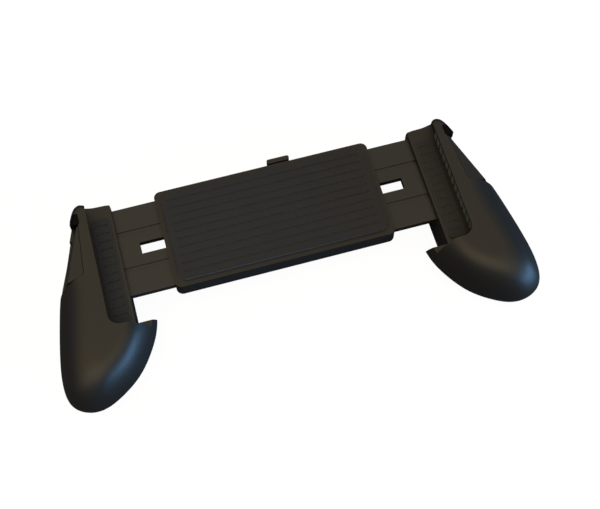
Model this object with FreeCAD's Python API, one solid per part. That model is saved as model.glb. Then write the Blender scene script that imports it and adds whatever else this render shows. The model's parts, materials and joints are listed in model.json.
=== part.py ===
import FreeCAD, Part
import math
import os

# A telescopic game grip that clamps a phone between two handles.
# X runs along the phone, Y towards its upper long edge, Z out of its screen.
# The grip lies on the backs of its handles, on Z = 0. All sizes are in millimetres.
# Y is measured from the middle of the phone here, and from the middle of the grip when saved.

Vector = FreeCAD.Vector
UP = Vector(0, 0, 1)

# The phone that the grip is set to, and how it sits
phone_length = 162.3
phone_width = 77.2
phone_thickness = 7.9
phone_corner_radius = 5.0
glass_z = 30.0
bay_play = 0.3
bay_shelf = 2.0

# Handle form, walls and lip
lip_rise = 1.5
lip_overlap = 0.95
ledge_overlap = 0.4
parting_z = 15.5
wall = 2.2
end_wall = 1.35
bay_reach = 11.15
bay_cut_slope = 0.3

# Rubber pads
jaw_pad_thickness = 0.8
bay_pad_thickness = 0.8
jaw_pad_top = 17.0
pad_corner_room = 1.5
pad_edge_room = 0.4
pad_groove_depth = 0.35
pad_groove_pitch = 4.0
pad_groove_width = 1.0
pad_rim = 1.0
centre_pad_rim = 3.0

# Lever in the flank of each handle
seam_top_out = 3.15
seam_top_y = 11.6
seam_bottom_out = 5.0
seam_bottom_y = -10.4
seam_corner_radius = 2.0
seam_rise = -0.2
lever_top_fall = 0.2
lever_gap = 0.3
lever_floor = 2.1
neck_inset = 0.4
neck_overlap = 2.0
neck_slope_x = 1.4
facet_slope = 0.18
facet_drop = 0.5
flank_out = 10.7
flank_taper = 0.33
flank_z = 22.5
flank_lean = 0.35
hinge_out = 4.85
hinge_y = 14.6
pin_diameter = 2.0
pin_press_play = 0.05
pin_turn_play = 0.1
pin_end_play = 0.1
barrel_diameter = 4.8
barrel_play = 0.3
barrel_drop = 2.8
washer_inset = 0.2
washer_play = 0.02
cap_inner_reach = 2.2
cap_outer_reach = 1.9
cap_half_length = 2.5
cap_corner_radius = 0.8
cap_play = 0.15
cap_bore = 1.4

# Sliders, rack and pinion
slider_thickness = 3.0
slider_play = 0.1
slider_end_in = 0.15
slider_screw_in = 5.15
slider_slot_wall = 1.7
slider_screw_y = 15.0
rail_groove_y = 9.0
rail_groove_width = 2.0
rail_groove_depth = 0.6
travel_in = 12.0
travel_out = 6.5
stop_play = 0.3
rack_overreach = 3.0
module = 0.8
pinion_teeth = 20
pressure_angle = 20.0
backlash = 0.12
pinion_face_play = 0.1
pinion_recess = 0.8
pinion_rim = 1.0
pinion_hub = 1.5
rack_outer_y = 15.0
axle_diameter = 3.0
axle_play = 0.05
axle_press_play = 0.02

# Centre housing
housing_half_length = 50.0
housing_wall = 2.5
housing_corner_radius = 3.0
housing_floor = 2.4
housing_cover_thickness = 2.1
slider_side_play = 0.2
rib_width = 1.2
rib_sink = 0.5
boss_play = 0.05
rib_room = 3.2
end_screw_inset = 4.0
mid_screw_x = 17.0
blind_floor = 1.4
blind_roof = 0.8
pad_margin = 2.5
pad_corner_radius = 4.0

# Lock and release button
lock_x = 0.0
lock_pivot_inset = 0.4
lock_pin_diameter = 1.6
brake_arm = 11.0
button_arm = 10.0
lock_arm_width = 2.6
brake_thickness = 1.5
brake_length = 5.0
brake_bay = 12.3
brake_face_play = 0.2
lock_hub_radius = 2.3
lock_rise = 0.7
lock_arm_drop = 1.5
lock_face_play = 0.15
leaf_thickness = 0.3
leaf_room = 2.4
leaf_seat = 3.2
leaf_tip = 2.0
leaf_end_inset = 1.0
leaf_play = 0.05
leaf_edge_play = 0.4
button_length = 10.5
button_flange = 2.0
button_flange_thickness = 0.6
button_nib = 2.0
button_nib_play = 0.25
button_rise = 2.2
button_travel = 1.2
button_x = 9.0
button_play = 0.2
button_edge = 1.0

# Screws
screw_diameter = 2.2
screw_head_diameter = 4.0
screw_head_height = 1.4
screw_boss_diameter = 5.0
pillar_wall = 1.15
screw_play = 0.2
thread_play = 0.1
screw_tip_play = 0.3
screw_head_play = 0.1
screw_grip = 6.0
screw_drive_depth = 0.8
screw_drive_width = 0.6
screw_drive_length = 2.2

# How far cuts run past a face, and past the phone's end or above the handles
past = 1.0
beyond = 30.0

# Places worked out from the sizes above
phone_end_x = phone_length / 2
top_z = glass_z + lip_rise
bay_end_x = phone_end_x + jaw_pad_thickness
bay_inner_x = phone_end_x - bay_reach
bay_low_y = -phone_width / 2 - bay_play
phone_back_z = glass_z - phone_thickness
bay_floor_z = phone_back_z - bay_pad_thickness
bay_roof_z = glass_z + bay_play
slider_z = parting_z
slider_top_z = slider_z + slider_thickness
lever_pocket_z = parting_z + lever_floor
lever_z = lever_pocket_z + lever_gap
seam_top = (phone_end_x + seam_top_out, seam_top_y)
seam_bottom = (phone_end_x + seam_bottom_out, seam_bottom_y)
flank_x = phone_end_x + flank_out
hinge_x = phone_end_x + hinge_out
slider_end_x = phone_end_x - slider_end_in
slider_screw_x = phone_end_x - slider_screw_in
barrel_top_z = glass_z - barrel_drop
cap_z = barrel_top_z + lever_gap
pitch_radius = module * pinion_teeth / 2
tooth_pitch = math.pi * module
addendum = module
dedendum = 1.25 * module
rack_root_y = pitch_radius + dedendum
rack_tip_x = -(travel_out + rack_overreach)
slider_screw_tip_z = slider_z - screw_grip
shell_screw_tip_z = parting_z + screw_grip
housing_z = slider_z - slider_play - housing_floor
cavity_z = slider_z - slider_play
cavity_top_z = slider_top_z + slider_play
cover_top_z = cavity_top_z + housing_cover_thickness
brake_y = rack_outer_y + slider_side_play
brake_back_y = brake_y + brake_thickness
arm_back_y = brake_back_y + lock_arm_width
lock_y = arm_back_y - lock_pivot_inset
cavity_half_width = arm_back_y + leaf_room
slider_half_width = cavity_half_width - slider_side_play
housing_half_width = cavity_half_width + housing_wall
end_screw_x = housing_half_length - end_screw_inset
mid_screw_y = cavity_half_width - screw_boss_diameter / 2 - screw_head_play
stop_slot_half = screw_boss_diameter / 2 + stop_play
stop_slot_x = end_screw_x - travel_out - stop_slot_half
stop_slot_end_x = end_screw_x + travel_in + stop_slot_half
slider_shoulder_x = stop_slot_x - slider_slot_wall
blind_bottom_z = cavity_z - blind_floor
blind_top_z = cover_top_z - blind_roof
button_y = housing_half_width + button_travel + button_play

# Stations round the right handle, with X from the end of the phone:
# the widest line, the flat of the face, the flat of the back
STATIONS = [
    ((-1.2, 25.0), (-2.2, 17.0), (0.8, 3.5)),
    ((5.0, 23.9), (1.0, 19.2), (3.8, 2.0)),
    ((7.6, 18.5), (3.8, 16.0), (5.4, -1.5)),
    ((10.4, 10.0), (6.2, 8.8), (6.8, -7.0)),
    ((14.0, -1.0), (7.2, -2.0), (8.2, -13.0)),
    ((18.1, -12.5), (3.8, -13.5), (9.4, -19.5)),
    ((21.2, -26.5), (3.8, -24.5), (10.4, -27.0)),
    ((23.6, -41.5), (5.6, -34.5), (11.1, -35.0)),
    ((24.4, -54.0), (7.0, -42.0), (10.8, -43.0)),
    ((21.7, -63.2), (6.4, -48.5), (9.1, -48.0)),
    ((12.8, -67.0), (3.6, -49.5), (5.8, -50.0)),
    ((2.2, -63.3), (0.3, -47.6), (2.3, -48.0)),
    ((-7.8, -55.8), (-3.2, -43.9), (-0.4, -43.5)),
    ((-15.0, -46.1), (-5.6, -38.9), (-2.0, -38.0)),
    ((-19.4, -36.2), (-5.2, -31.0), (-3.0, -31.5)),
    ((-21.6, -20.0), (-5.7, -18.0), (-3.4, -22.0)),
    ((-21.8, 5.0), (-5.7, 2.0), (-3.2, -9.0)),
    ((-13.7, 23.5), (-4.7, 12.0), (-1.9, -0.5)),
]
# Screws of one handle: the slider's, and the shells' with the height of their heads
SLIDER_SCREWS = [
    (slider_screw_x, slider_screw_y),
    (slider_screw_x, 0),
    (slider_screw_x, -slider_screw_y),
]
SHELL_SCREWS = [
    (phone_end_x + 6.35, -46.0, 5.5),
    (phone_end_x + 7.35, -22.0, 5.5),
    (phone_end_x + 2.85, 19.5, 11.0),
]
SECTION_ANGLES = (16, 32, 48, 62, 75, 84, 90)
face_crown = 0.8
face_shoulder = 1.25
back_crown = 1.0
back_shoulder = 1.0

# How far the middle of the phone lies above the middle of the grip
lowest_y = min(station[0][1] for station in STATIONS)
phone_y = -(lowest_y + button_y + button_rise) / 2


def block(x0, x1, y0, y1, z0, z1):
    """A box from its lowest and highest corners."""
    return Part.makeBox(x1 - x0, y1 - y0, z1 - z0, Vector(x0, y0, z0))


def rod(diameter, x, y, z0, z1):
    """An upright cylinder."""
    return Part.makeCylinder(diameter / 2, z1 - z0, Vector(x, y, z0))


def outline(points, radii):
    """A closed flat wire through the points, with each corner rounded to its radius."""
    count = len(points)
    corners = [Vector(x, y, 0) for x, y in points]
    stops = []
    for i, corner in enumerate(corners):
        before = (corners[i - 1] - corner).normalize()
        after = (corners[(i + 1) % count] - corner).normalize()
        radius = radii[i]
        if radius == 0:
            stops.append((corner, None, corner))
            continue
        half = before.getAngle(after) / 2
        reach = radius / math.tan(half)
        inward = (before + after).normalize()
        centre = corner + inward * (radius / math.sin(half))
        stops.append((corner + before * reach, centre - inward * radius, corner + after * reach))
    edges = []
    for i, (start, middle, end) in enumerate(stops):
        if middle is not None:
            edges.append(Part.Arc(start, middle, end).toShape())
        following = stops[(i + 1) % count][0]
        if end.distanceToPoint(following) > 1e-6:
            edges.append(Part.LineSegment(end, following).toShape())
    return Part.Wire(edges)


def prism(points, radii, z0, z1):
    """The outline pushed up from z0 to z1."""
    face = Part.Face(outline(points, radii))
    face.translate(Vector(0, 0, z0))
    return face.extrude(Vector(0, 0, z1 - z0))


def plate(x0, x1, y0, y1, z0, z1, radius):
    """A flat plate with four rounded corners."""
    return prism([(x0, y0), (x1, y0), (x1, y1), (x0, y1)], [radius] * 4, z0, z1)


def half_space(point, normal):
    """A large solid on the side of the plane that the normal points to."""
    size = 400
    solid = Part.makeBox(size, size, size, Vector(-size / 2, -size / 2, 0))
    solid.Placement = FreeCAD.Placement(point, FreeCAD.Rotation(UP, normal))
    return solid


def union(shapes):
    """All the shapes joined into one."""
    joined = shapes[0]
    if len(shapes) > 1:
        joined = joined.multiFuse(shapes[1:])
    return joined.removeSplitter()


def section(end, share, inset, z):
    """One level of the handle's form, a share of the way to the face (1) or the back (2)."""
    count = len(STATIONS)
    ring = []
    for station in STATIONS:
        wide = Vector(*station[0])
        flat = Vector(*station[end])
        ring.append(Vector(phone_end_x, 0, 0) + wide + (flat - wide) * share)
    moved = []
    for i in range(count):
        along = ring[(i + 1) % count] - ring[i - 1]
        outward = Vector(-along.y, along.x, 0).normalize()
        place = ring[i] - outward * inset
        moved.append(Vector(place.x, place.y, z))
    curve = Part.BSplineCurve()
    curve.interpolate(Points=moved, PeriodicFlag=True, Parameters=station_parameters())
    return Part.Wire(curve.toShape())


def station_parameters():
    """The same parameter at each station on every level, spaced by the widest line."""
    places = [Vector(*station[0]) for station in STATIONS]
    values = [0.0]
    for i in range(len(places)):
        step = places[i].distanceToPoint(places[(i + 1) % len(places)])
        values.append(values[-1] + math.sqrt(step))
    return [value / values[-1] for value in values]


def handle_form(inset):
    """The rounded form of the right handle, or the same form a wall further in."""
    levels = []
    for angle in reversed(SECTION_ANGLES):
        levels.append(level(2, angle, inset, -parting_z, back_crown, back_shoulder))
    for angle in (0,) + SECTION_ANGLES:
        levels.append(level(1, angle, inset, top_z - parting_z, face_crown, face_shoulder))
    return Part.makeLoft(levels, True, False)


def level(end, angle, inset, height, crown, shoulder):
    """The section where the rounding has turned by an angle: with both powers at 1 it is an ellipse."""
    turn = math.radians(angle)
    cosine = max(math.cos(turn), 0)
    share = 1 - cosine ** crown
    rise = height * math.sin(turn) ** shoulder
    fall = math.copysign(inset * math.sin(turn), height)
    return section(end, share, inset * cosine, parting_z + rise - fall)


def inner_cut(offset):
    """What is taken from behind the phone, between the handle and the centre."""
    top = Vector(0, bay_low_y + offset, top_z)
    corner = bay_low_y + offset + bay_cut_slope * top_z
    profile = Part.makePolygon([
        top,
        Vector(0, beyond, top_z),
        Vector(0, beyond, 0),
        Vector(0, corner, 0),
        top,
    ])
    return Part.Face(profile).extrude(Vector(bay_inner_x - offset, 0, 0))


def lever_zone(gap, z0, z1, fall=0.0):
    """The plan of the lever in the flank, less a gap along its seams."""
    far = phone_end_x + beyond
    bottom_y = seam_bottom[1] - seam_corner_radius
    points = [
        (seam_top[0] + gap, seam_top[1] - gap),
        (seam_bottom[0] + gap, bottom_y + gap),
        (far, bottom_y + gap + seam_rise * (far - seam_bottom[0])),
        (far, seam_top[1] - gap - fall * (far - seam_top[0])),
    ]
    return prism(points, [0, seam_corner_radius, 0, 0], z0, z1)


def flank_outside():
    """All that lies out beyond the slanted side of the flank."""
    return half_space(Vector(flank_x, 0, flank_z), Vector(1, flank_taper, flank_lean).normalize())


def flank_facets():
    """The two slanted planes that flatten the flank over the lever."""
    down = (seam_bottom[0] - seam_top[0]) / (seam_bottom[1] - seam_top[1])
    face_point = Vector(seam_top[0], seam_top[1], top_z - facet_drop)
    face_normal = Vector(facet_slope, -facet_slope * down, 1).normalize()
    zone = lever_zone(0, parting_z, top_z + past)
    face_side = half_space(face_point, face_normal).common(zone)
    return face_side.fuse(flank_outside().common(zone))


def flank_block(facets):
    """The lever's stretch of the flank, flat to its edges and proud of the rounding below it."""
    return lever_zone(0, parting_z, top_z + past).cut(facets)


def phone_space(grow):
    """The space that the phone's end takes, grown into the walls round it."""
    floor = bay_floor_z - grow * bay_shelf
    roof = bay_roof_z + grow * wall
    end = bay_end_x + grow * end_wall
    low = bay_low_y - grow * wall
    return prism(
        [(0, low), (end, low), (end, beyond), (0, beyond)],
        [0, phone_corner_radius, 0, 0], floor, roof)


def lip_window():
    """The open front of the recess, inside the lip."""
    end = phone_end_x - lip_overlap
    low = -phone_width / 2 + ledge_overlap
    return prism(
        [(0, low), (end, low), (end, beyond), (0, beyond)],
        [0, phone_corner_radius, 0, 0], glass_z, top_z + past)


def hinge_recess(grow):
    """Room for the lever's barrel, open on the outer side."""
    reach = barrel_diameter / 2 + barrel_play + grow
    bottom = lever_pocket_z - grow
    drum = rod(2 * reach, hinge_x, hinge_y, bottom, cap_z + grow)
    mouth = block(hinge_x, hinge_x + beyond, seam_top[1] - lever_gap - grow, hinge_y + reach,
                  bottom, top_z + past)
    neck_room = block(hinge_x - neck_slope_x - lever_gap - grow, hinge_x, seam_top[1] - lever_gap - grow,
                      hinge_y - neck_slope_x, bottom, top_z + past)
    return drum.fuse([mouth, neck_room, cap_block(cap_play + grow, cap_z - lever_gap)])


def cap_block(grow, bottom):
    """The upright block of the hinge cap, grown by a clearance."""
    return plate(hinge_x - cap_inner_reach - grow, hinge_x + cap_outer_reach + grow,
                 hinge_y - cap_half_length - grow, hinge_y + cap_half_length + grow,
                 bottom, top_z + past, cap_corner_radius)


def handle_shells():
    """The form of the right handle, its two bare shells, and the space inside them."""
    form = handle_form(0)
    form = form.cut(inner_cut(0))
    facets = flank_facets()
    form = form.cut(facets)
    form = form.fuse(flank_block(facets)).removeSplitter()
    cavity = handle_form(wall)
    cavity = cavity.cut(inner_cut(-wall))
    cavity = cavity.cut(phone_space(1))
    cavity = cavity.cut(lever_zone(-wall, lever_pocket_z - wall, top_z))
    cavity = cavity.cut(hinge_recess(end_wall))
    cavity = cavity.cut(screw_pillars())
    body = form.cut(cavity)
    above = half_space(Vector(phone_end_x, 0, parting_z), UP)
    return form, body.common(above), body.cut(above)


def screw_pillars():
    """The pillars inside a handle that take its screws."""
    pillars = []
    wide = screw_head_diameter + screw_play + 2 * pillar_wall
    for x, y in SLIDER_SCREWS:
        pillars.append(rod(screw_boss_diameter, x, y, -past, parting_z))
    for x, y, head_z in SHELL_SCREWS:
        pillars.append(rod(wide, x, y, -past, parting_z))
        pillars.append(rod(screw_boss_diameter, x, y, parting_z, top_z))
    return pillars


def front_shell(bare):
    """The front shell: recess for the phone, lever pocket, slider slot and pin hole."""
    shell = bare.cut(phone_space(0))
    shell = shell.cut(lip_window())
    shell = shell.cut(lever_zone(0, lever_pocket_z, top_z + past))
    shell = shell.cut(hinge_recess(0))
    slot_width = slider_half_width + slider_side_play
    slot = block(bay_inner_x - past, bay_inner_x + 2 * wall, -slot_width, slot_width,
                 parting_z, slider_top_z + slider_play)
    shell = shell.cut(slot)
    shell = shell.cut(rod(pin_diameter + pin_press_play, hinge_x, hinge_y, parting_z, glass_z))
    for x, y, head_z in SHELL_SCREWS:
        shell = shell.cut(rod(screw_diameter + thread_play, x, y, parting_z - past, shell_screw_tip_z))
    return shell


def rear_shell(bare):
    """The rear shell, its pillars bored for the slider's and the shells' screws."""
    shell = bare
    for x, y in SLIDER_SCREWS:
        shell = shell.cut(rod(screw_diameter + thread_play, x, y, slider_screw_tip_z, slider_z + past))
    for x, y, head_z in SHELL_SCREWS:
        shell = shell.cut(rod(screw_diameter + screw_play, x, y, head_z, parting_z + past))
        shell = shell.cut(rod(screw_head_diameter + screw_play, x, y, -past, head_z + screw_head_height))
    return shell


def trigger_lever(form):
    """The fold-out lever: flank panel, neck and hinge barrel, bored for its pin."""
    panel = form.common(lever_zone(lever_gap, lever_z, top_z + past, lever_top_fall))
    barrel = rod(barrel_diameter, hinge_x, hinge_y, lever_z, barrel_top_z)
    neck = block(seam_top[0] + lever_gap, hinge_x + barrel_diameter / 2 - neck_inset,
                 seam_top[1] - neck_overlap, hinge_y, lever_z, barrel_top_z)
    slope_point = Vector(hinge_x - neck_slope_x, seam_top[1] - lever_gap, 0)
    neck = neck.cut(half_space(slope_point, Vector(-1, 1, 0))).cut(flank_outside())
    lever = union([panel, barrel, neck])
    return lever.cut(rod(pin_diameter + pin_turn_play, hinge_x, hinge_y, lever_z - past, barrel_top_z + past))


def hinge_cap(form):
    """The dark block that closes the hinge and holds the top of its pin."""
    cap = cap_block(0, cap_z).common(form)
    bore = rod(pin_diameter + pin_press_play, hinge_x, hinge_y, cap_z - past, cap_z + cap_bore)
    return cap.cut(bore)


def hinge_pin():
    """The steel pin on which the lever turns."""
    pin_z = parting_z + pin_end_play
    return rod(pin_diameter, hinge_x, hinge_y, pin_z, cap_z + cap_bore - pin_end_play)


def friction_washer():
    """The spring washer under the lever's barrel."""
    ring = rod(barrel_diameter - 2 * washer_inset, hinge_x, hinge_y, lever_pocket_z, lever_z - washer_play)
    bore = rod(pin_diameter + 2 * pin_turn_play, hinge_x, hinge_y, lever_pocket_z - past, lever_z + past)
    return ring.cut(bore)


def grooves(x0, x1, y0, y1, z0, z1):
    """Shallow slots across a pad, at an even pitch along Y."""
    count = int((y1 - y0) / pad_groove_pitch)
    first = (y0 + y1) / 2 - (count - 1) * pad_groove_pitch / 2
    slots = []
    for i in range(count):
        middle = first + i * pad_groove_pitch
        slots.append(block(x0, x1, middle - pad_groove_width / 2, middle + pad_groove_width / 2, z0, z1))
    return slots


def jaw_pad():
    """The rubber strip that grips the end of the phone."""
    x0 = bay_end_x - jaw_pad_thickness
    y0 = bay_low_y + phone_corner_radius + pad_corner_room
    z0 = bay_floor_z + bay_pad_thickness + pad_edge_room
    z1 = bay_roof_z - pad_edge_room
    pad = block(x0, bay_end_x, y0, jaw_pad_top, z0, z1)
    slots = grooves(x0 - past, x0 + pad_groove_depth, y0, jaw_pad_top, z0 - past, z1 + past)
    return pad.cut(slots)


def bay_pad():
    """The rubber sheet under the end of the phone."""
    x0 = bay_inner_x + pad_corner_room
    x1 = bay_end_x - jaw_pad_thickness - pad_corner_room
    y0 = bay_low_y + phone_corner_radius
    z1 = bay_floor_z + bay_pad_thickness
    pad = plate(x0, x1, y0, jaw_pad_top, bay_floor_z, z1, pad_corner_room)
    slots = grooves(x0 + pad_rim, x1 - pad_rim, y0, jaw_pad_top, z1 - pad_groove_depth, z1 + past)
    return pad.cut(slots)


def rack_tooth(middle):
    """One tooth of the rack in plan, its tip towards the pinion."""
    lean = math.tan(math.radians(pressure_angle))
    half = (tooth_pitch / 2 - backlash) / 2
    tip = half - addendum * lean
    root = half + dedendum * lean
    points = [
        (middle - root, -rack_root_y - past),
        (middle - root, -rack_root_y),
        (middle - tip, -pitch_radius + addendum),
        (middle + tip, -pitch_radius + addendum),
        (middle + root, -rack_root_y),
        (middle + root, -rack_root_y - past),
    ]
    return prism(points, [0] * 6, slider_z, slider_top_z)


def slider():
    """The right slider: a flat carriage with a rack that reaches past the pinion."""
    deck = block(slider_shoulder_x, slider_end_x, -slider_half_width, slider_half_width,
                 slider_z, slider_top_z)
    leg = block(rack_tip_x, slider_shoulder_x + past, -rack_outer_y, -rack_root_y, slider_z, slider_top_z)
    teeth = []
    first = math.ceil(rack_tip_x / tooth_pitch)
    last = int(slider_shoulder_x / tooth_pitch) - 1
    for i in range(first, last + 1):
        teeth.append(rack_tooth((i + 0.5) * tooth_pitch))
    carriage = union([deck, leg] + teeth)
    carriage = carriage.cut(block(stop_slot_x, stop_slot_end_x, -stop_slot_half, stop_slot_half,
                                  slider_z - past, slider_top_z + past))
    for y in (-rail_groove_y, rail_groove_y):
        carriage = carriage.cut(block(slider_shoulder_x - past, slider_end_x + past,
                                      y - rail_groove_width / 2, y + rail_groove_width / 2,
                                      slider_top_z - rail_groove_depth, slider_top_z + past))
    for x, y in SLIDER_SCREWS:
        carriage = carriage.cut(rod(screw_diameter + screw_play, x, y, slider_z - past, slider_top_z + past))
        carriage = carriage.cut(rod(screw_head_diameter + screw_play, x, y,
                                    slider_top_z - screw_head_height - screw_head_play,
                                    slider_top_z + past))
    return carriage


def screw(x, y, head_z, tip_z):
    """A cross-head screw, upright: its head lies at head_z and its tip at tip_z."""
    down = head_z > tip_z
    low = min(head_z, tip_z)
    high = max(head_z, tip_z)
    shank = rod(screw_diameter, x, y, low, high)
    if down:
        head = rod(screw_head_diameter, x, y, head_z - screw_head_height, head_z)
        drive_z = head_z - screw_drive_depth
    else:
        head = rod(screw_head_diameter, x, y, head_z, head_z + screw_head_height)
        drive_z = head_z
    bar = block(-screw_drive_width / 2, screw_drive_width / 2, -screw_drive_length / 2,
                screw_drive_length / 2, 0, screw_drive_depth)
    cross = bar.fuse(bar.rotated(Vector(0, 0, 0), UP, 90))
    cross.translate(Vector(x, y, drive_z))
    return shank.fuse(head).cut(cross)


def slider_screws():
    """The screws that hold the slider down on the pillars of the rear shell."""
    head_z = slider_top_z - screw_head_play
    tip_z = slider_screw_tip_z + screw_tip_play
    return Part.Compound([screw(x, y, head_z, tip_z) for x, y in SLIDER_SCREWS])


def shell_screws():
    """The screws that close the handle from behind."""
    tip_z = shell_screw_tip_z - screw_tip_play
    return Part.Compound([screw(x, y, head_z, tip_z) for x, y, head_z in SHELL_SCREWS])


def pinion():
    """The spur gear that keeps both racks moving alike."""
    base = pitch_radius * math.cos(math.radians(pressure_angle))
    tip = pitch_radius + addendum
    root = pitch_radius - dedendum
    half = math.pi / (2 * pinion_teeth) - backlash / (2 * pitch_radius)
    involute = math.tan(math.radians(pressure_angle)) - math.radians(pressure_angle)
    flank = []
    steps = 4
    for i in range(steps + 1):
        radius = base + (tip - base) * i / steps
        angle = math.acos(base / radius)
        flank.append((radius, half + involute - (math.tan(angle) - angle)))
    points = []
    for tooth in range(pinion_teeth):
        middle = math.pi / 2 + tooth * 2 * math.pi / pinion_teeth
        profile = [(root, -flank[0][1])] + [(r, -a) for r, a in flank]
        profile += [(r, a) for r, a in reversed(flank)] + [(root, flank[0][1])]
        for radius, angle in profile:
            points.append((radius * math.cos(middle + angle), radius * math.sin(middle + angle)))
    gear = prism(points, [0] * len(points), slider_z + pinion_face_play, slider_top_z - pinion_face_play)
    web = rod(2 * (root - pinion_rim), 0, 0, slider_top_z - pinion_recess, slider_top_z + past)
    web = web.cut(rod(axle_diameter + 2 * pinion_hub, 0, 0, slider_z, slider_top_z + 2 * past))
    gear = gear.cut(web)
    return gear.cut(rod(axle_diameter + 2 * axle_play, 0, 0, slider_z - past, slider_top_z + past))


def pinion_axle():
    """The steel axle, held in the tray's floor and the cover."""
    return rod(axle_diameter, 0, 0, blind_bottom_z, blind_top_z)


def housing_screw_places():
    """Where the cover is screwed to the tray."""
    places = [(-end_screw_x, 0), (end_screw_x, 0)]
    for x in (-mid_screw_x, mid_screw_x):
        for y in (-mid_screw_y, mid_screw_y):
            places.append((x, y))
    return places


def housing_tray():
    """The back of the centre housing, open at both ends for the sliders."""
    tray = plate(-housing_half_length, housing_half_length, -housing_half_width, housing_half_width,
                 housing_z, cavity_top_z, housing_corner_radius)
    tray = tray.cut(block(-housing_half_length - past, housing_half_length + past,
                          -cavity_half_width, cavity_half_width, cavity_z, cavity_top_z + past))
    ribs = []
    reach = mid_screw_x + rib_room
    for x0, x1, side in ((-reach, reach, -1), (-reach, -brake_bay, 1), (brake_bay, reach, 1)):
        y_near = side * brake_y
        y_far = side * (brake_y + rib_width)
        ribs.append(block(x0, x1, min(y_near, y_far), max(y_near, y_far),
                          cavity_z - rib_sink, cavity_top_z - pinion_face_play))
    tray = union([tray] + ribs)
    for x, y in housing_screw_places():
        tray = tray.cut(rod(screw_diameter + screw_play, x, y, housing_z - past, cavity_z + past))
        tray = tray.cut(rod(screw_head_diameter + screw_play, x, y,
                            housing_z - past, housing_z + screw_head_height + screw_head_play))
    tray = tray.cut(rod(axle_diameter + 2 * axle_press_play, 0, 0, blind_bottom_z, cavity_z + past))
    tray = tray.cut(rod(lock_pin_diameter + 2 * axle_press_play, lock_x, lock_y,
                        blind_bottom_z, cavity_z + past))
    neck_half = button_length / 2 - button_flange + button_play
    tray = tray.cut(block(button_x - neck_half, button_x + neck_half, cavity_half_width - past,
                          housing_half_width + past, cavity_z, cavity_top_z + past))
    return tray


def housing_cover():
    """The front of the centre housing, with the bosses that take its screws."""
    cover = plate(-housing_half_length, housing_half_length, -housing_half_width, housing_half_width,
                  cavity_top_z, cover_top_z, housing_corner_radius)
    bosses = [rod(screw_boss_diameter, x, y, cavity_z + boss_play, cavity_top_z + rib_sink)
              for x, y in housing_screw_places()]
    cover = union([cover] + bosses)
    for x, y in housing_screw_places():
        cover = cover.cut(rod(screw_diameter + thread_play, x, y, cavity_z - past, blind_top_z))
    cover = cover.cut(rod(axle_diameter + 2 * axle_press_play, 0, 0, cavity_z, blind_top_z))
    return cover.cut(rod(lock_pin_diameter + 2 * axle_press_play, lock_x, lock_y, cavity_z, blind_top_z))


def housing_screws():
    """The screws that close the centre housing from behind."""
    head_z = housing_z + screw_head_play
    tip_z = blind_top_z - screw_tip_play
    return Part.Compound([screw(x, y, head_z, tip_z) for x, y in housing_screw_places()])


def centre_pad():
    """The rubber pad on the front of the housing, under the middle of the phone."""
    x1 = housing_half_length - pad_margin
    y1 = housing_half_width - pad_margin
    pad = plate(-x1, x1, -y1, y1, cover_top_z, phone_back_z, pad_corner_radius)
    slots = grooves(-x1 + centre_pad_rim, x1 - centre_pad_rim, -y1, y1,
                    phone_back_z - pad_groove_depth, phone_back_z + past)
    return pad.cut(slots)


def lock_lever():
    """The rocker whose left arm carries the brake and whose right arm meets the button."""
    z0 = cavity_z + lock_face_play
    z1 = cavity_top_z - lock_face_play
    hub = rod(2 * lock_hub_radius, lock_x, lock_y, z0, z1)
    left = block(lock_x - brake_arm, lock_x, brake_back_y, arm_back_y, z0, z1)
    right = block(lock_x, lock_x + button_arm, lock_y - lock_arm_drop, lock_y + lock_rise, z0, z1)
    rocker = union([hub, left, right])
    return rocker.cut(rod(lock_pin_diameter + pin_turn_play, lock_x, lock_y, z0 - past, z1 + past))


def brake_pad():
    """The rubber block that presses on the plain edge of the left rack."""
    x0 = lock_x - brake_arm
    return block(x0, x0 + brake_length, brake_y, brake_back_y,
                 cavity_z + brake_face_play, cavity_top_z - brake_face_play)


def lock_pin():
    """The pin of the lock lever, held in the tray's floor and the cover."""
    return rod(lock_pin_diameter, lock_x, lock_y, blind_bottom_z, blind_top_z)


def lock_spring():
    """A bent leaf between the tray's wall and the braking arm."""
    x0 = lock_x - leaf_seat
    x1 = lock_x - brake_arm + leaf_end_inset
    x2 = x0 - leaf_tip
    y_wall = cavity_half_width - leaf_play
    y_arm = arm_back_y + leaf_play
    slant = math.atan2(y_wall - y_arm, x2 - x1)
    points = [
        (x0, y_wall),
        (x1, y_wall),
        (x2, y_arm),
        (x2, y_arm + leaf_thickness / math.cos(slant)),
        (x1 + leaf_thickness / math.tan(slant / 2), y_wall - leaf_thickness),
        (x0, y_wall - leaf_thickness),
    ]
    return prism(points, [0] * 6, cavity_z + leaf_edge_play, cavity_top_z - leaf_edge_play)


def release_button():
    """The button in the upper edge of the housing, with its neck, flange and nib."""
    half = button_length / 2
    head = plate(button_x - half, button_x + half, button_y, button_y + button_rise,
                 housing_z + button_edge, cover_top_z - button_edge, button_edge)
    neck_half = half - button_flange
    z0 = cavity_z + button_play
    z1 = cavity_top_z - button_play
    flange_y1 = cavity_half_width - button_play
    flange_y0 = flange_y1 - button_flange_thickness
    neck = block(button_x - neck_half, button_x + neck_half, flange_y0, button_y + button_edge, z0, z1)
    flange = block(button_x - half, button_x + half, flange_y0, flange_y1, z0, z1)
    nib = block(button_x - button_nib / 2, button_x + button_nib / 2,
                lock_y + lock_rise + button_nib_play, flange_y1, z0, z1)
    return union([head, neck, flange, nib])


def mirrored(shape):
    """The same piece on the left handle."""
    return shape.mirror(Vector(0, 0, 0), Vector(1, 0, 0))


def turned(shape):
    """The same piece turned half a turn about the pinion's axle."""
    return shape.rotated(Vector(0, 0, 0), UP, 180)


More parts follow.
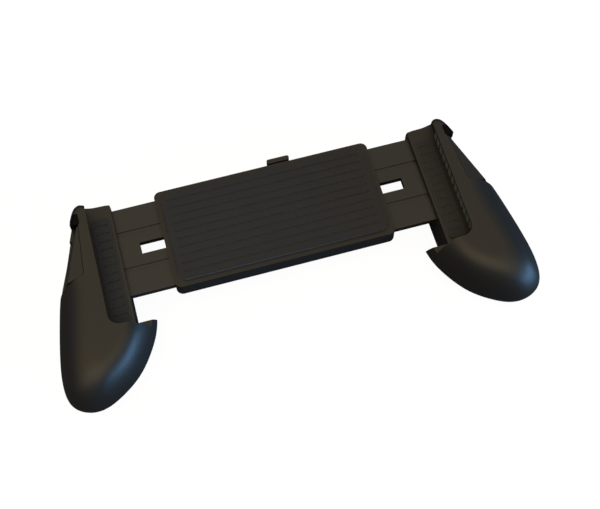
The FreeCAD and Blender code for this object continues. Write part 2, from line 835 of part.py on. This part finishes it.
def save(name, shape):
    """Write one node's STEP file."""
    solids = shape.translated(Vector(0, phone_y, 0)).Solids
    clean = solids[0] if len(solids) == 1 else Part.Compound(solids)
    clean.exportStep("parts/" + name + ".step")
    print(name, len(solids), round(shape.Volume, 1), shape.isValid())


def save_centre():
    """The pieces of the centre housing."""
    save("housing_tray", housing_tray())
    save("housing_cover", housing_cover())
    save("housing_screws", housing_screws())
    save("centre_pad", centre_pad())
    save("pinion", pinion())
    save("pinion_axle", pinion_axle())
    save("lock_lever", lock_lever())
    save("brake_pad", brake_pad())
    save("lock_pin", lock_pin())
    save("lock_spring", lock_spring())
    save("release_button", release_button())


def save_sides():
    """The pieces that the left and right sides each have."""
    form, bare_front, bare_rear = handle_shells()
    pieces = {
        "front_shell": front_shell(bare_front),
        "rear_shell": rear_shell(bare_rear),
        "trigger_lever": trigger_lever(form),
        "hinge_cap": hinge_cap(form),
        "hinge_pin": hinge_pin(),
        "friction_washer": friction_washer(),
        "jaw_pad": jaw_pad(),
        "bay_pad": bay_pad(),
        "slider_screws": slider_screws(),
        "shell_screws": shell_screws(),
    }
    for name, shape in pieces.items():
        save("right_" + name, shape)
        save("left_" + name, mirrored(shape))
    carriage = slider()
    save("right_slider", carriage)
    save("left_slider", turned(carriage))


os.makedirs("parts", exist_ok=True)
save_centre()
save_sides()
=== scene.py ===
import json
import math

import bpy
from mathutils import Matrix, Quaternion, Vector


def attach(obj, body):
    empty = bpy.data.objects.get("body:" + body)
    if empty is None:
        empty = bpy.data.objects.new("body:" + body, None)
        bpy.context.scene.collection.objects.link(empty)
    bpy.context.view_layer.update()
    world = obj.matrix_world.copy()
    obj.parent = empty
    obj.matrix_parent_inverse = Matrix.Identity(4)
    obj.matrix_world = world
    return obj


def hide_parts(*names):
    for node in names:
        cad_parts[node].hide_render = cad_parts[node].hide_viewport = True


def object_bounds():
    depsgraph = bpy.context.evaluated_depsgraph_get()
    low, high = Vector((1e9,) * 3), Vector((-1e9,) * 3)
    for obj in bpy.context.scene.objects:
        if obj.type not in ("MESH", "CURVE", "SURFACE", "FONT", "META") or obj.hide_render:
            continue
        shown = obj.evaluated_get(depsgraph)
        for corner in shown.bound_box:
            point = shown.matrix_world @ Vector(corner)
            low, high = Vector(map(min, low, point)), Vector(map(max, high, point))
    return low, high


# A telescopic game grip, lying on the backs of its handles. Lengths are in metres.

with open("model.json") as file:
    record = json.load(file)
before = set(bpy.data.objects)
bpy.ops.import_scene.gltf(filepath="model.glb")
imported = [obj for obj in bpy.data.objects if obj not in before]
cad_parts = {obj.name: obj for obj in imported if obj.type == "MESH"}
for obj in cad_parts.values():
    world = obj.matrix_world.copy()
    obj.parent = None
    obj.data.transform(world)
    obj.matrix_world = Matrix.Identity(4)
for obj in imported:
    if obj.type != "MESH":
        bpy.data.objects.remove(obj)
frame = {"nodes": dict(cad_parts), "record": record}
cad_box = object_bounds()
mm = 0.001

# Camera, as the photograph was taken
camera_place = Vector((-44.1, -196.1, 442.5)) * mm
camera_aim = Vector((4.8, -7.7, 30.0)) * mm
camera_roll = math.radians(-1.0)
camera_lens = 63.8
sensor_width = 36.0
camera_near = 0.01
camera_far = 20

# Floor and light, as the photograph shows them: a warm soft sky over a dim blue horizon, and a
# cold side light
floor_size = 6
floor_tone = (0.09, 0.10, 0.15, 1)
paper_tone = (0.95, 0.95, 0.95, 1)
white = (1, 1, 1, 1)
glow_share = 0.9
glow_strength = 1.06
horizon_tone = (0.035, 0.11, 0.22)
zenith_tone = (1.10, 0.89, 0.58)
zenith_way = (-0.17, -0.10, 0.98)
zenith_start = 0.42
zenith_full = 0.95
key_place = (-0.3, -0.55, 1.25)
key_aim = (0, 0, 0.02)
key_width = 1.4
key_height = 1.1
key_power = 3.0
key_tone = (1.0, 0.87, 0.66)
side_place = (1.15, -0.68, 0.12)
side_aim = (0.02, 0, 0.02)
side_power = 23.0
side_width = 1.2
side_height = 0.33
side_tone = (0.27, 0.57, 1.0)

# Bevels on the moulded edges, and the sharpest turn of a surface that gets none, in degrees
shell_bevel = 0.35 * mm
panel_bevel = 0.25 * mm
small_bevel = 0.12 * mm
edge_angle = 32.0
bevel_segments = 3
weld_distance = 0.001 * mm

# The looks that all plastics share: sizes of their mottling, smudges and worn patches, and how
# finely each noise is broken up
mottle_size = 14 * mm
smudge_size = 30 * mm
patch_size = 3 * mm
mottle_detail = 4.0
smudge_detail = 3.0
grain_detail = 2.0
wear_width = 0.5 * mm
polish_below = 0.06
polish_above = 0.08
grain_strength = 0.6
sheen_rough = 0.5

# The looks that all metals share: size of their tarnish, and the drawn-out scratches
tarnish_size = 2.5 * mm
scratch_stretch = (1, 1, 6)
scratch_depth = 0.01 * mm
scratch_strength = 0.3
brush_below = 0.08
brush_above = 0.1

# Where the wear on an edge starts and is full, as the cosine between the two normals
wear_start = 0.97
wear_full = 0.75
wear_samples = 6


def add(tree, kind, inputs=None, **settings):
    """A shader node with its settings, and its inputs as values or links."""
    node = tree.nodes.new("ShaderNode" + kind)
    for name, value in settings.items():
        setattr(node, name, value)
    for name, value in (inputs or {}).items():
        if isinstance(value, bpy.types.NodeSocket):
            tree.links.new(value, node.inputs[name])
        else:
            node.inputs[name].default_value = value
    return node


def blend_colours(tree, factor, first, second):
    """Two colours mixed by a factor."""
    mix = add(tree, "Mix", data_type="RGBA")
    tree.links.new(factor, mix.inputs["Factor"])
    for name, colour in (("A", first), ("B", second)):
        socket = [s for s in mix.inputs if s.name == name and s.type == "RGBA"][0]
        if isinstance(colour, bpy.types.NodeSocket):
            tree.links.new(colour, socket)
        else:
            socket.default_value = (*colour, 1)
    return [s for s in mix.outputs if s.type == "RGBA"][0]


def spread(tree, value, low, high):
    """A value from 0 to 1 spread from low to high."""
    ranged = add(tree, "MapRange", {"Value": value, "To Min": low, "To Max": high})
    return ranged.outputs["Result"]


def noise(tree, coordinates, size, detail):
    """Noise whose features are about size across."""
    texture = add(tree, "TexNoise", {"Vector": coordinates, "Scale": 1 / size, "Detail": detail})
    return texture.outputs["Fac"]


def edge_mask(tree, width):
    """1 on edges, within a width of them, and 0 elsewhere."""
    rounded = add(tree, "Bevel", {"Radius": width}, samples=wear_samples)
    geometry = add(tree, "NewGeometry")
    dot = add(tree, "VectorMath", {0: rounded.outputs["Normal"], 1: geometry.outputs["Normal"]},
              operation="DOT_PRODUCT")
    mask = add(tree, "MapRange", {"Value": dot.outputs["Value"], "From Min": wear_start,
                                  "From Max": wear_full})
    return mask.outputs["Result"]


def moulded(name, deep, pale, rough, grain=0.12 * mm, grain_depth=0.02 * mm, wear=None, sheen=0.0,
            gloss=0.5):
    """Moulded plastic or rubber: two close tones, a fine grain, smudges, and worn edges."""
    material = bpy.data.materials.new(name)
    material.use_nodes = True
    tree = material.node_tree
    shader = tree.nodes["Principled BSDF"]
    place = add(tree, "TexCoord").outputs["Object"]
    mottle = noise(tree, place, mottle_size, mottle_detail)
    colour = blend_colours(tree, mottle, deep, pale)
    fine = noise(tree, place, grain, grain_detail)
    smudge = noise(tree, place, smudge_size, smudge_detail)
    polish = spread(tree, smudge, rough - polish_below, rough + polish_above)
    if wear is not None:
        mask = edge_mask(tree, wear_width)
        patches = noise(tree, place, patch_size, smudge_detail)
        patchy = add(tree, "Math", {0: mask, 1: patches}, operation="MULTIPLY")
        colour = blend_colours(tree, patchy.outputs["Value"], colour, wear)
    tree.links.new(colour, shader.inputs["Base Color"])
    tree.links.new(polish, shader.inputs["Roughness"])
    bump = add(tree, "Bump", {"Strength": grain_strength, "Distance": grain_depth, "Height": fine})
    tree.links.new(bump.outputs["Normal"], shader.inputs["Normal"])
    shader.inputs["Specular IOR Level"].default_value = gloss
    shader.inputs["Sheen Weight"].default_value = sheen
    shader.inputs["Sheen Roughness"].default_value = sheen_rough
    return material


def metal(name, deep, pale, rough, scratch=0.08 * mm):
    """Turned or drawn metal: fine scratches round it, and a slight tarnish."""
    material = bpy.data.materials.new(name)
    material.use_nodes = True
    tree = material.node_tree
    shader = tree.nodes["Principled BSDF"]
    place = add(tree, "TexCoord").outputs["Object"]
    tarnish = noise(tree, place, tarnish_size, mottle_detail)
    colour = blend_colours(tree, tarnish, deep, pale)
    stretched = add(tree, "Mapping", {"Vector": place, "Scale": scratch_stretch})
    lines = noise(tree, stretched.outputs["Vector"], scratch, smudge_detail)
    tree.links.new(colour, shader.inputs["Base Color"])
    polish = spread(tree, lines, rough - brush_below, rough + brush_above)
    tree.links.new(polish, shader.inputs["Roughness"])
    bump = add(tree, "Bump", {"Strength": scratch_strength, "Distance": scratch_depth, "Height": lines})
    tree.links.new(bump.outputs["Normal"], shader.inputs["Normal"])
    shader.inputs["Metallic"].default_value = 1.0
    return material


MATERIALS = {
    "face_plastic": moulded("face_plastic", (0.0145, 0.0122, 0.0083), (0.0175, 0.0150, 0.0105), 0.46,
                            wear=(0.030, 0.028, 0.024)),
    # The lever plastic is the face plastic made a little lighter: painted light that brightens the lever
    # panel as if it were lit like the face
    "lever_plastic": moulded("lever_plastic", (0.0150, 0.0127, 0.0086), (0.0180, 0.0155, 0.0110), 0.44,
                             wear=(0.030, 0.028, 0.024)),
    "back_plastic": moulded("back_plastic", (0.0115, 0.0102, 0.0080), (0.0155, 0.0138, 0.0110), 0.52,
                            grain=0.35 * mm, grain_depth=0.05 * mm, wear=(0.028, 0.0265, 0.0235)),
    "housing_plastic": moulded("housing_plastic", (0.0110, 0.0100, 0.0080), (0.0150, 0.0136, 0.0110), 0.50,
                               grain=0.35 * mm, grain_depth=0.05 * mm, wear=(0.028, 0.0265, 0.0235)),
    "cap_plastic": moulded("cap_plastic", (0.0030, 0.0030, 0.0032), (0.0050, 0.0050, 0.0054), 0.42,
                           grain=2.0 * mm, grain_depth=0.01 * mm, gloss=0.05),
    "grip_rubber": moulded("grip_rubber", (0.010, 0.0105, 0.0115), (0.017, 0.0175, 0.019), 0.72,
                           grain=0.2 * mm, grain_depth=0.05 * mm, sheen=0.2),
    "slider_plastic": moulded("slider_plastic", (0.014, 0.0145, 0.016), (0.02, 0.021, 0.0225), 0.34,
                              grain=0.6 * mm, grain_depth=0.01 * mm, wear=(0.05, 0.05, 0.05)),
    "gear_plastic": moulded("gear_plastic", (0.62, 0.60, 0.53), (0.74, 0.72, 0.66), 0.38,
                            grain=0.4 * mm, grain_depth=0.01 * mm),
    "lock_plastic": moulded("lock_plastic", (0.045, 0.045, 0.05), (0.06, 0.06, 0.066), 0.4,
                            grain=0.4 * mm, grain_depth=0.01 * mm),
    "brake_rubber": moulded("brake_rubber", (0.02, 0.02, 0.02), (0.03, 0.03, 0.03), 0.78,
                            grain=0.2 * mm, grain_depth=0.05 * mm),
    "button_plastic": moulded("button_plastic", (0.0120, 0.0106, 0.0085), (0.0160, 0.0144, 0.0118), 0.40,
                              wear=(0.034, 0.032, 0.028)),
    "pin_steel": metal("pin_steel", (0.42, 0.42, 0.43), (0.6, 0.6, 0.61), 0.28),
    "spring_steel": metal("spring_steel", (0.3, 0.3, 0.31), (0.45, 0.45, 0.46), 0.34),
    "screw_steel": metal("screw_steel", (0.05, 0.05, 0.055), (0.09, 0.09, 0.1), 0.36),
}


SLOTS = {}
for row in frame["record"]["subparts"]:
    SLOTS[row["node"]] = row["material_slot"]
BODY_OF = {}
for body, members in frame["record"]["behaviour"]["bodies"].items():
    for node in members:
        BODY_OF[node] = body


def dressed(node, bevel):
    """A copy of a node's mesh with its moulded edges rounded, standing for the node."""
    source = frame["nodes"][node]
    mesh = source.data.copy()
    if mesh.has_custom_normals:
        mesh.attributes.remove(mesh.attributes["custom_normal"])
    mesh.shade_smooth()
    piece = bpy.data.objects.new(node + "_skin", mesh)
    bpy.context.scene.collection.objects.link(piece)
    weld = piece.modifiers.new("weld", "WELD")
    weld.merge_threshold = weld_distance
    rounding = piece.modifiers.new("rounding", "BEVEL")
    rounding.width = bevel
    rounding.segments = bevel_segments
    rounding.limit_method = "ANGLE"
    rounding.angle_limit = math.radians(edge_angle)
    rounding.use_clamp_overlap = True
    rounding.harden_normals = True
    depsgraph = bpy.context.evaluated_depsgraph_get()
    final = bpy.data.meshes.new_from_object(piece.evaluated_get(depsgraph))
    piece.modifiers.clear()
    piece.data = final
    final.materials.clear()
    final.materials.append(MATERIALS[SLOTS[node]])
    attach(piece, BODY_OF[node])
    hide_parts(node)


for node, thing in frame["nodes"].items():
    thing.data.materials.clear()
    thing.data.materials.append(MATERIALS[SLOTS[node]])


def seen_white(tree):
    """1 for the rays that show the backdrop to the camera, straight or through something clear."""
    path = add(tree, "LightPath")
    either = add(tree, "Math", {0: path.outputs["Is Camera Ray"], 1: path.outputs["Is Transmission Ray"]},
                 operation="MAXIMUM")
    return either.outputs["Value"]


def make_floor():
    """A white floor to the camera, with a soft shadow; to the object, a dark one."""
    bpy.ops.mesh.primitive_plane_add(size=floor_size, location=(0, 0, cad_box[0][2]))
    floor = bpy.context.object
    floor.name = "floor"
    material = bpy.data.materials.new("floor")
    material.use_nodes = True
    tree = material.node_tree
    tree.nodes.remove(tree.nodes["Principled BSDF"])
    bounce = add(tree, "BsdfDiffuse", {"Color": floor_tone})
    paper = add(tree, "BsdfDiffuse", {"Color": paper_tone})
    glow = add(tree, "Emission", {"Color": white, "Strength": glow_strength})
    bright = add(tree, "MixShader", {0: glow_share})
    tree.links.new(paper.outputs["BSDF"], bright.inputs[1])
    tree.links.new(glow.outputs["Emission"], bright.inputs[2])
    mix = add(tree, "MixShader", {0: seen_white(tree)})
    tree.links.new(bounce.outputs["BSDF"], mix.inputs[1])
    tree.links.new(bright.outputs["Shader"], mix.inputs[2])
    tree.links.new(mix.outputs["Shader"], tree.nodes["Material Output"].inputs["Surface"])
    floor.data.materials.append(material)


def make_world():
    """A white backdrop to the camera; to the object, a warm sky over a dim blue horizon."""
    world = bpy.data.worlds.new("studio")
    bpy.context.scene.world = world
    world.use_nodes = True
    tree = world.node_tree
    sky = tree.nodes["Background"]
    height = add(tree, "VectorMath", {0: add(tree, "TexCoord").outputs["Generated"], 1: zenith_way},
                 operation="DOT_PRODUCT")
    rise = add(tree, "MapRange", {"Value": height.outputs["Value"], "From Min": zenith_start,
                                  "From Max": zenith_full}, interpolation_type="SMOOTHSTEP")
    tone = blend_colours(tree, rise.outputs["Result"], horizon_tone, zenith_tone)
    tree.links.new(tone, sky.inputs["Color"])
    sky.inputs["Strength"].default_value = 1.0
    backdrop = add(tree, "Background", {"Color": white, "Strength": 1.0})
    mix = add(tree, "MixShader", {0: seen_white(tree)})
    tree.links.new(sky.outputs["Background"], mix.inputs[1])
    tree.links.new(backdrop.outputs["Background"], mix.inputs[2])
    tree.links.new(mix.outputs["Shader"], tree.nodes["World Output"].inputs["Surface"])


def softbox(name, place, aim, width, height, power, colour):
    """A rectangular lamp that points at aim."""
    lamp = bpy.data.lights.new(name, "AREA")
    lamp.shape = "RECTANGLE"
    lamp.size = width
    lamp.size_y = height
    lamp.energy = power
    lamp.color = colour
    thing = bpy.data.objects.new(name, lamp)
    bpy.context.scene.collection.objects.link(thing)
    thing.location = place
    thing.rotation_euler = (Vector(aim) - Vector(place)).to_track_quat("-Z", "Y").to_euler()
    thing.visible_camera = False


def make_camera():
    """The camera of the photograph."""
    camera = bpy.data.objects.new("camera", bpy.data.cameras.new("camera"))
    bpy.context.scene.collection.objects.link(camera)
    camera.location = camera_place
    turn = (camera_aim - camera_place).to_track_quat("-Z", "Y")
    camera.rotation_mode = "QUATERNION"
    camera.rotation_quaternion = turn @ Quaternion((0, 0, 1), camera_roll)
    camera.data.lens = camera_lens
    camera.data.sensor_width = sensor_width
    camera.data.clip_start = camera_near
    camera.data.clip_end = camera_far
    bpy.context.scene.camera = camera


for side in ("left_", "right_"):
    dressed(side + "front_shell", shell_bevel)
    dressed(side + "rear_shell", shell_bevel)
    dressed(side + "trigger_lever", panel_bevel)
    dressed(side + "hinge_cap", small_bevel)
    dressed(side + "jaw_pad", small_bevel)
    dressed(side + "bay_pad", small_bevel)
    dressed(side + "slider", small_bevel)
for node in ("housing_tray", "housing_cover", "centre_pad", "release_button"):
    dressed(node, small_bevel)

make_floor()
make_world()
softbox("key", key_place, key_aim, key_width, key_height, key_power, key_tone)
softbox("side", side_place, side_aim, side_width, side_height, side_power, side_tone)
make_camera()
bpy.context.scene.view_settings.view_transform = "Standard"
